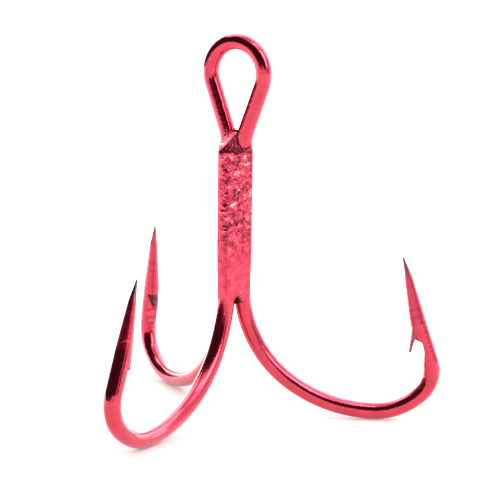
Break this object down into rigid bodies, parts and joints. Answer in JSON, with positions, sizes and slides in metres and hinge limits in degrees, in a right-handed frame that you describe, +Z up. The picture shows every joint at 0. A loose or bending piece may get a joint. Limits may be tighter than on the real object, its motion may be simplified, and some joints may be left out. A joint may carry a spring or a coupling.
{
  "type": "treble hook",
  "caption": "Barbed treble fishing hook: three bends of round wire brazed back to back below a teardrop eye, coated in glossy translucent red.",
  "frame": {"origin": "centre of the eye, in the middle plane of its wire", "axes": "+Z up from the bends to the eye, along the shanks; +Y along the way a ring passes through the eye, away from the single hook; +X across the eye, towards the right-hand hook of the double wire"},
  "size_m": [0.0278, 0.0242, 0.0292],
  "materials": {
    "coated_wire": "glossy translucent red lacquer over bright polished wire",
    "coated_braze": "the same red lacquer over lumpy brazing metal"
  },
  "bodies": {
    "root": {"eyed_double_hook": "coated_wire", "single_hook": "coated_wire", "braze": "coated_braze"}
  },
  "joints": []
}
